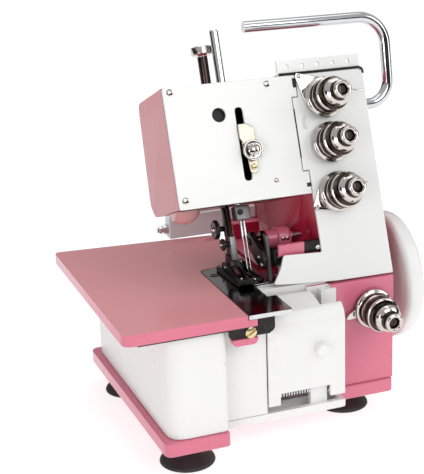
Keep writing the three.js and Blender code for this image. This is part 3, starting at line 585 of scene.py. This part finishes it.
def thumb_screw(centre, base, radius):
    """A thumb screw on the X axis: a dished disc with its thread towards +X, and the dome outside it."""
    thick = 0.43 * radius
    disc_profile = [(0, base), (radius * 0.5, base), (radius * 0.88, base - 0.3), (radius, base + 0.4),
                    (radius, base + thick - 0.5),
                    (radius * 0.9, base + thick), (2.0, base + thick), (2.0, base + thick + 5),
                    (0, base + thick + 5)]
    dome = [(0, base - 1.6), (radius * 0.14, base - 1.5), (radius * 0.26, base - 1.0),
            (radius * 0.32, base - 0.1), (radius * 0.32, base + 0.2), (0, base + 0.2)]
    return turned("x", disc_profile, centre, 56, 0.2), turned("x", dome, centre, 32)


for name, centre, base, radius in (("large", (PRESSER_B, 37.4), 69.2, 7.0),
                                   ("small", (6, 26), 72.2, 4.4)):
    disc_shape, dome_shape = thumb_screw(centre, base, radius)
    piece(f"thumb_screw_{name}", disc_shape, head, BLACK, "presser")
    piece(f"thumb_screw_{name}_dome", dome_shape, head, STEEL, "presser")


SOLE, TOE_TOP = 110.35, 113.0


def toe(outline_points, low=SOLE, high=TOE_TOP):
    """A flat toe of the presser foot whose front end curls up, by a parabola, ahead of y = 52."""
    points, faces = plate("z", outline_points, low, high, 0.35, 1.2)
    points[:, 2] += 0.045 * np.clip(52 - points[:, 1], 0, None) ** 2
    return points, faces


curl = [(72.4, y) for y in np.linspace(50, 45, 5)]
foot_parts = [
    toe([(71, 86), (71.6, 60), *curl, (74.5, 44), (81.5, 44), (84, 46),
         *[(84.4, y) for y in (48, 50, 52)], (84.4, 86)]),
    toe([(91.6, 86), (91.6, 52), (92.4, 50), (93.4, 52), (93.4, 86)]),
    plate("z", [(71, 84), (93.4, 84), (93.4, 89), (90, 92), (74, 92), (71, 89)], SOLE, TOE_TOP, 0.35),
    plate("z", [(83, 52.5), (92.6, 52.5), (92.6, 55.8), (83, 55.8)], 110.9, 112.6, 0.3),
    plate("x", [(56, 112.5), (86, 112.5), (84, 118), (66, 117), (58, 114.5)], 73.6, 75.6, 0.4, 1.0),
    plate("x", [(56, 112.5), (86, 112.5), (84, 118), (66, 117), (58, 114.5)], 81.6, 83.6, 0.4, 1.0),
    plate("x", [(72, 112.5), (86, 112.5), (85, 123.8), (77, 123.8)], 76.6, 80.6, 0.5),
    plate("x", [(80, 112.5), (90, 112.5), (88, 117), (82, 117)], 85, 91, 0.5),
]
piece("presser_foot_body", together(*foot_parts), bench, BLACK, "presser",
      ("presser_foot",))
bright = [turned("x", [(0, 72.9), (1.0, 73.0), (1.3, 73.5), (1.3, 84), (1.0, 84.4), (0, 84.5)],
                 (78, 115.6), 24),
          plate("x", [(62, 114.4), (63, 113.6), (80, 118.2), (80, 119)], 77, 80.4, 0.15)]
for x, y in ((87.9, 82.5), (78.4, 57.5), (87.2, 54.2), (74.6, 88), (78.6, 49)):
    z = 117.0 if y == 82.5 else 113.0 if y != 54.2 else 112.6
    bright.append(turned("z", [(0, z + 0.8), (0.5, z + 0.7), (0.95, z + 0.3), (1.1, z - 0.2),
                               (0, z - 0.2)], (x, y), 20))
piece("presser_foot_bright_parts", together(*bright), bench, STEEL, "presser")
piece("stitch_fingers",
      together(*[plate("z", [(x0, y0), (x1, y0 + 2.4), (x1, y0 + 3.7), (x0, y0 + 1.3)], 108.4, 110.25,
                       0.2)
                                   for x0, x1, y0 in ((86.6, 91.0, 56.8), (86.6, 91.0, 60.2))]), bench,
                                   STEEL, "machine")
edge_strip = plate("z", [(85.2, 45.2), (98.2, 46.6), (98.2, 48.2), (85.2, 47.0)], 110.0, 110.4, 0.1)
piece("lower_knife_edge", edge_strip, bench, CHROME, "machine")
piece("presser_coil", coil("z", (PRESSER_X, PRESSER_B), 4.0, (69.9, 127.5), 14, 0.6), head, STEEL,
      "machine", ("presser_spring",))
piece("cover_coil", coil("x", (20.5, 38), 2.75, (84.9, 111.6), 15, 0.65), bench, STEEL, "machine",
      ("cover_spring",))


# the pressure screw's shank below its head is painted dark as shade
profile = [(0, 128.4), (3.7, 128.4), (3.7, 162), (4.2, 163), (7.2, 163), (7.7, 163.6), (7.7, 168.2),
           (7.1, 169), (2.2, 169), (2, 168), (0, 168)]
piece("pressure_dial_screw", turned("z", profile, (PRESSER_X, PRESSER_B), 96, 0.15), head, NICKEL,
      "pressure_dial", ("pressure_screw",),
      zones=[(NICKEL_SHADE, lambda m, n: leaned(m)[:, 2] < 161.8)])

# ------------------------------------------------------------------ knife arm and its shaft
KNIFE = (80.5, 131.5)  # the arm's pivot, as (Y, Z)
BARREL = (60.4, 124.5)
eye = turned("x", [(0, 93.0), (2.4, 93.0), (2.8, 93.5), (2.8, 94.3), (5.6, 94.3), (6.6, 94.9), (7, 95.8),
                   (7, 97.3), (6.4, 97.9), (0, 97.9)], KNIFE, 64, 0.2)
arm = plate("x", [(84, 126), (86, 132), (80, 137.5), (60, 131), (53.6, 126), (55, 118), (64, 117.6)],
            93.9, 97.7, 0.5, [2, 2, 2, 3, 3, 3, 3])
barrel = turned("x", [(0, 101.9), (5.6, 101.9), (6.6, 102.5), (7, 103.4), (7, 108.2), (6.4, 109.2),
                      (5.4, 109.5), (3.4, 109.5), (3.2, 108.6), (0, 108.6)], BARREL, 64, 0.2)
link = turned("x", [(0, 97), (1.2, 97), (1.2, 102.4), (0, 102.4)], BARREL, 24)
piece("knife_arm_body", together(eye, arm, barrel, link), bench, BLACK, "upper_knife",
      ("knife_arm",))
knife_screws = [turned("x", [(0, 92.6), (0.8, 92.8), (1.5, 93.4), (1.6, 94.2), (0, 94.2)], centre, 24)
                for centre in ((62.5, 125.2), (57.4, 121.0))]
knife_screws.append(turned("y", [(0, 52.6), (0.7, 52.8), (1.1, 53.4), (1.1, 54.4), (0, 54.4)],
                           (105.3, 126.4), 20))
piece("knife_arm_screws", together(*knife_screws), bench, STEEL, "upper_knife")

housing = turned("x", [(0, 105.6), (6.0, 105.6), (6.5, 106.2), (6.5, 113.4), (7.9, 114), (8.2, 114.6),
                       (8.2, 121.8), (7.8, 122.5), (7.0, 124), (0, 124)], KNIFE, 64, 0.2)
piece("knife_shaft_sleeve", housing, bench, PINK, "machine", ("knife_shaft_housing",))
# the washer in darkened nickel: painted shade
piece("knife_shaft_washer", turned("x",
                                   [(0, 99.2), (3, 99.2), (3, 101.8), (5.8, 102), (6.5, 102.6),
                                    (6.5, 105), (6, 105.5), (0, 105.5)], KNIFE, 56, 0.2),
      bench, NICKEL_SHADE, "machine")
piece("knife_shaft_end", together(turned("x", [(0, 124), (3, 124), (3, 140.8), (0, 140.8)], KNIFE, 32),
                                  turned("x", [(3, 124.1), (4.2, 124.1), (4.2, 125.8), (3, 126)], KNIFE,
                                         32, ring=True)),
      bench, STEEL, "machine")
set_screws = [turned("y", [(0, 71.9), (0.9, 71.9), (1.5, 72.2), (1.5, 73.6), (0, 73.6)], (x, 132.4), 24)
              for x in (117, 120.2)]
piece("collar_set_screws", together(*set_screws), bench, STEEL, "machine")

# ------------------------------------------------------------------ tension dials
DIAL_X, DIAL_HEIGHTS = 153, (118.5, 86.5, 51)
KNOB_LENGTH, BORE = 36, 3.6  # from the panel to a knob's tip, and the bored hole's radius


def knob_shape(front, centre):
    """A stepped knob: a bored tip, a neck, a flared ring, a barrel, a disc, a skirt and a rolled rim."""
    back, tip = front - 9.6, front - KNOB_LENGTH
    profile = [(BORE, tip + 4), (BORE, tip + 1.4), (4.4, tip + 0.3), (5.4, tip), (6.4, tip + 0.6),
               (6.8, tip + 1.8), (6.4, tip + 3.2), (5.5, tip + 3.8),
               (5.5, tip + 6.6), (6.8, tip + 7.0), (8.8, tip + 8.4), (9.9, tip + 10.0),
               (10.1, tip + 11.0), (9.4, tip + 11.8), (9.0, tip + 12.2),
               (9.2, tip + 15.8), (11.4, tip + 16.4), (12.5, tip + 17.2), (12.7, tip + 18.3),
               (12.0, tip + 19.2), (11.2, tip + 19.6),
               (11.2, tip + 24.2), (12.4, tip + 24.8), (12.5, tip + 25.8), (11.8, back), (BORE, back)]
    return turned("y", profile, centre, 96, 0.35, ring=True)


# bands of each knob painted dark as shade
KNOB_SHADES = ((2.9, 7.2, 7.0), (11.2, 16.7, 11.6), (18.9, 24.9, 12.2))  # (from, to, largest radius)


def shaded(front, centre, place, bands):
    """A zone test for a dial's faces painted dark as shade: those between two distances from its tip and
    within a radius, and the bore.
    """
    def test(m, n):
        p = (leaned if place is head else upright)(m)
        along = p[:, 1] - (front - KNOB_LENGTH)
        radius = np.hypot(p[:, 0] - centre[0], p[:, 2] - centre[1])
        picked = np.zeros(len(m), bool)
        for start, end, widest in bands:
            picked |= (along > start) & (along < end) & (radius < widest)
        return picked | (radius < BORE + 0.05)
    return test


def seat_shape(front, centre):
    """The fixed cup: a broad dished disc, a bright rolled rim, a step that is painted dark as shade and the
    slotted stud.
    """
    face, tip = front - 0.3, front - 33.4
    profile = [(0, tip), (2.9, tip), (3.3, tip + 0.4), (3.3, face - 9), (11.0, face - 9),
               (12.2, face - 8.4), (12.4, face - 6.0), (13.0, face - 5.4),
               (14.2, face - 4.8), (14.6, face - 4.0), (14.6, face - 2.6), (13.6, face - 2.0),
               (13.4, face - 0.6), (13.6, face), (0, face)]
    return turned("y", profile, centre, 96, 0.3)


# bands of each cup painted dark as shade, as (from, to, largest radius)
SEAT_SHADES = ((27.2, 30.2, 12.5), (33.8, 36, 13.8))


def wire(points, radius=0.55, bends=1.2):
    """A bent wire through its corner points."""
    return tube(soften(points, bends, 4), radius, 10, across=(0.3, 0.9, 0.31))


dial_spots = [(head, FACE, (DIAL_X, h)) for h in DIAL_HEIGHTS] + [(bench, 35.0, (168.5, 85))]
for number, (place, front, centre) in enumerate(dial_spots, 1):
    x, h = centre
    parts = [seat_shape(front, centre)]
    if number == 1:
        parts.append(plate("y", [(156, 132.6), (134.6, 138), (133.4, 135.4), (139.2, 113.5)], front - 1.9,
                           front - 0.3, 0.3, 1.2))
        parts.append(wire([(163, front - 12, h + 2), (168, front - 13, h + 1.2), (171, front - 13, h + 2),
                           (174, front - 13, h + 1), (178, front - 12, h + 1.6)], 0.7))
    if number == 3:
        parts.append(plate("y", [(139, 56), (132.6, 43.4), (133.8, 40.6), (156, 37)], front - 1.9,
                           front - 0.3, 0.3, 1.2))
        parts.append(wire([(163, front - 14, h + 1), (168, front - 16, h + 2.4),
                           (170.5, front - 16, h + 3.6), (168, front - 16, h + 3.4)], 0.6))
    if number == 4:
        parts.append(plate("y", [(158, 88), (149, 83), (147, 80), (149, 79), (158, 80)], front - 3.4,
                           front - 2, 0.3, 1.0))
    piece(f"tension_cup_{number}", together(*parts), place, NICKEL, "machine",
          (f"tension_seat_{number}",),
          zones=[(NICKEL_SHADE, shaded(front, centre, place, SEAT_SHADES))])
    piece(f"tension_dial_{number}", knob_shape(front, centre), place, NICKEL, f"knob_{number}",
          (f"tension_knob_{number}",),
          zones=[(NICKEL_SHADE, shaded(front, centre, place, KNOB_SHADES))])
    # a black slot in the stud and a black ring between the discs: painted shade
    slot = plate("y", [(x - 0.5, h - 2.9), (x + 0.5, h - 2.9), (x + 0.5, h + 2.9), (x - 0.5, h + 2.9)],
                 front - 33.6, front - 33.3, 0.05)
    piece(f"tension_slot_shade_{number}", slot, place, SHADE_BLACK, "machine")
    piece(f"tension_gap_shade_{number}", turned("y",
                                          [(3.5, front - 9.5), (10.8, front - 9.5), (10.8, front - 9.3),
                                           (3.5, front - 9.3)], centre, 48, ring=True),
          place, SHADE_BLACK, "machine")

# ------------------------------------------------------------------ screws and small parts on the head


def slotted_screw(centre, front, radius, height, slot=0.0, turn=0.0):
    """A domed head facing -Y: height (1 - 0.45 (r / radius)^2), which dips along the driver slot."""
    sides, rows = 48, 14
    r = radius * np.linspace(0, 1, rows)[:, None]
    angle = np.linspace(0, 2 * math.pi, sides, endpoint=False)[None, :]
    dome = height * (1 - 0.45 * (r / radius) ** 2) * np.ones_like(angle)
    across = np.abs(r * np.sin(angle - turn))
    dome = np.where(across < max(slot, 0.01), dome - 0.55 * height, dome)
    points = np.stack([centre[0] + r * np.cos(angle), front - dome, centre[1] + r * np.sin(angle)],
                      -1).reshape(-1, 3)
    skirt = points[-sides:].copy()
    skirt[:, 1] = front
    faces = grid_faces(rows + 1, sides, False,
                       True).tolist() + [list(range(rows * sides, (rows + 1) * sides))]
    return np.concatenate([points, skirt]), faces


for name, centre, radius in (("upper_left", (41, 133.3), 2.3), ("upper_right", (112.2, 132.5), 2.3),
                             ("lower_left", (40.8, 58.6), 2.3), ("guide_dot", (108.7, 64.6), 1.7)):
    piece(f"face_screw_{name}", slotted_screw(centre, FACE - 0.02, radius, 0.9, 0.35, 0.6), head, NICKEL,
          "machine")
for name, centre in (("upper", (136.2, 135.4)), ("lower", (135.2, 42.4))):
    piece(f"flange_screw_{name}", slotted_screw(centre, FACE - 1.9, 1.6, 0.9, 0.25, 0.3), head, NICKEL,
          "machine")
STUD = (93.2, 87.2)
take_up = together(turned("y", [(0, -30.4), (5.9, -30.4), (6.2, -30.9), (7.0, -30.9), (7.4, -30.3),
                                (7.4, -29), (6.2, -27.6), (0, -27.6)], STUD, 72, 0.3),
                   slotted_screw(STUD, -30.6, 4.4, 3.0, 0.7, 1.1))


def stud_shade(m, n):
    """The groove round the stud's slotted middle, painted dark as shade."""
    p = leaned(m)
    radius = np.hypot(p[:, 0] - STUD[0], p[:, 2] - STUD[1])
    return (radius > 4.3) & (radius < 6.1) & (p[:, 1] < -30)


piece("take_up_stud", take_up, head, NICKEL, "take_up", ("take_up_screw",),
      zones=[(NICKEL_SHADE, stud_shade)])
piece("take_up_small_screw", slotted_screw((92.9, 76), -27.3, 2.3, 1.2, 0.3, 0.2), head, BRASS, "take_up")
# black sheets behind the needle bar's slot and behind a hole: painted shade
piece("slot_shade_sheet", plate("y", [(84, 60), (94, 60), (94, 122), (84, 122)], -10.9, -10.4, 0.1), head,
      SHADE_BLACK, "machine")
piece("hole_shade_sheet", turned("y", [(0, -21), (7, -21), (7, -20.5), (0, -20.5)], (73.9, 114.5), 32), head,
      SHADE_BLACK, "machine")
# black strips that paint the shade in seams, under the face plate and behind the cover's window
strips = {
    "face_plate_lower": (plate("y", [(36.6, 51.9), (109.6, 51.9), (109.6, 52.45), (36.6, 52.45)], -24.8,
                               -22.7, 0.05), head),
    "panel_seam": (plate("y", [(129.3, 78), (130.2, 78), (130.2, 113), (129.3, 113)], FACE - 0.12,
                         FACE + 0.6, 0.05), head),
    "seam_upper": (plate("y", [(131.6, 128), (134.3, 128), (134.3, 134.6), (131.6, 134.6)], FACE - 0.15,
                         FACE + 0.4, 0.05), head),
    "seam_lower": (plate("y", [(131.0, 57.4), (134.2, 57.4), (134.2, 60.2), (131.0, 60.2)], FACE - 0.15,
                         FACE + 0.4, 0.05), head),
    "cover_window": (plate("y", [(86, 30), (127, 30), (127, 46), (86, 46)], 30.3, 30.9, 0.1), bench),
}
for name, (shape, place) in strips.items():
    piece(f"shade_{name}", shape, place, SHADE_BLACK, "machine")
# a black strip under the table's front edge: its painted shadow
piece("shade_table_edge", plate("z", [(-16, -2.6), (58, -2.6), (58, 0), (-16, 0)], 101.0, 101.9, 0.05),
      bench, SHADE_BLACK, "table")
rail = soften([(122.5, FACE + 0.2, 138.1), (184.6, FACE + 0.2, 138.1), (187.0, FACE + 0.2, 136.8),
               (187.3, FACE + 0.2, 133.4)], 1.6, 5)
piece("thread_guide_rail", tube(rail, 0.85, 12), head, BLACK, "machine")
tab = wire([(137.2, FACE - 0.3, 107.2), (135.4, FACE - 0.9, 106.4), (135.4, FACE - 0.9, 99.0),
            (137.2, FACE - 0.3, 98.4)], 0.45)
piece("panel_hook", tab, head, WHITE, "machine")
clamp_screw = turned("y", [(0, -6.6), (1.7, -6.6), (2.1, -6.2), (2.1, -4.9), (0, -4.9)], (85.6, 47), 6)
piece("needle_clamp_screw", clamp_screw, head, BLACK, "needle_drive")
piece("rest_arm_block", plate("y", [(122.8, 127.8), (134.4, 127.8), (134.4, 136.4), (122.8, 136.4)], 48.5,
                              52.1, 0.5), bench, BLACK,
      "machine")
piece("rest_arm_dome", slotted_screw((133.2, 131.0), 48.9, 1.9, 1.8), bench, STEEL, "machine")
# the plate screw in darkened nickel: its dark ring is painted shade
piece("plate_screw",
      together(turned("z", [(0, 109.6), (3.2, 109.6), (3.2, 110.1), (2.8, 110.35), (2.1, 110.35),
                            (1.9, 110.15), (0, 110.15)], (66, 80), 40, 0.1)),
      bench, NICKEL_SHADE, "machine")
latch = together(slotted_screw((61.5, 97.6), -1.3, 3.9, 2.0, 0.55, 0.5),
                 turned("y", [(0, -1.35), (2, -1.35), (2, 6.5), (0, 6.5)], (61.5, 97.6), 24))
piece("latch_screw_head", latch, bench, BRASS, "machine", ("latch_screw",))

# ------------------------------------------------------------------ floor, light and camera
floor_mesh = bpy.data.meshes.new("floor")
floor_mesh.from_pydata([(-6, -6, 0), (6, -6, 0), (6, 6, 0), (-6, 6, 0)], [], [(0, 1, 2, 3)])
floor = bpy.data.objects.new("floor", floor_mesh)
bpy.context.scene.collection.objects.link(floor)
floor_look = bpy.data.materials.new("pale_floor")
floor_look.use_nodes = True
for label, value in (("Base Color", (0.5, 0.5, 0.5, 1)), ("Roughness", 0.7),
                     ("Emission Color", (1, 1, 1, 1)), ("Emission Strength", 0.72)):
    floor_look.node_tree.nodes["Principled BSDF"].inputs[label].default_value = value
floor_mesh.materials.append(floor_look)


def studio_world():
    """A white room: plain white seen directly, and in reflections a bright top and a dark level band."""
    world = bpy.data.worlds.new("studio")
    world.use_nodes = True
    bpy.context.scene.world = world
    tree = world.node_tree
    place = add_node(tree, "ShaderNodeTexCoord").outputs["Generated"]
    split = add_node(tree, "ShaderNodeSeparateXYZ")
    tree.links.new(place, split.inputs[0])
    ramp = add_node(tree, "ShaderNodeValToRGB")
    tree.links.new(spread(tree, split.outputs["Z"], 0, 1, (-1, 1)), ramp.inputs["Fac"])
    stops = ((0.0, 0.5), (0.42, 0.4), (0.46, 0.03), (0.62, 0.04), (0.67, 0.52), (1.0, 0.6))
    ramp.color_ramp.elements[0].position, ramp.color_ramp.elements[1].position = stops[0][0], stops[-1][0]
    for position, _ in stops[1:-1]:
        ramp.color_ramp.elements.new(position)
    for element, (_, value) in zip(ramp.color_ramp.elements, stops):
        element.color = (value, value, value, 1)
    eye = add_node(tree, "ShaderNodeLightPath")
    mix = add_node(tree, "ShaderNodeMix", data_type="RGBA")
    tree.links.new(eye.outputs["Is Camera Ray"], mix.inputs[0])
    tree.links.new(ramp.outputs["Color"], mix.inputs[6])
    mix.inputs[7].default_value = (1, 1, 1, 1)
    tree.links.new(mix.outputs[2], tree.nodes["Background"].inputs["Color"])
    tree.nodes["Background"].inputs["Strength"].default_value = 1.0


def softbox(name, place, aim, width, height, power):
    """A rectangular area light that looks from a place at an aim, in metres and watts."""
    light = bpy.data.lights.new(name, "AREA")
    light.shape = "RECTANGLE"
    light.size, light.size_y, light.energy = width, height, power
    obj = bpy.data.objects.new(name, light)
    bpy.context.scene.collection.objects.link(obj)
    obj.location = place
    obj.rotation_euler = (Vector(aim) - Vector(place)).to_track_quat("-Z", "Y").to_euler()


studio_world()
softbox("key_front", (0.3, -1.5, 1.1), (0, 0, 0.12), 1.0, 0.8, 6.9)
softbox("fill_right", (1.2, -0.7, 0.7), (0, 0, 0.12), 0.5, 1.0, 4)
softbox("top_strip", (0.1, 0.2, 1.5), (0, 0, 0.1), 1.2, 0.8, 3.6)
softbox("low_left", (-1.0, -0.9, 0.35), (0, 0, 0.12), 0.6, 0.6, 4.0)

camera_data = bpy.data.cameras.new("camera")
camera_data.sensor_width = 36
camera_data.lens = 89.17
camera = bpy.data.objects.new("camera", camera_data)
bpy.context.scene.collection.objects.link(camera)
TURN, LOOK_DOWN, ROLL = math.radians(19.246), math.radians(17.81), math.radians(-2.123)
camera.location = bench((-195.85, -668.29, 393.71))
aim = Vector((math.sin(TURN) * math.cos(LOOK_DOWN), math.cos(TURN) * math.cos(LOOK_DOWN),
              -math.sin(LOOK_DOWN)))
camera.rotation_euler = (aim.to_track_quat("-Z", "Y").to_matrix() @ Matrix.Rotation(ROLL, 3,
        "Z")).to_euler()
bpy.context.scene.camera = camera
bpy.context.scene.view_settings.view_transform = "Standard"
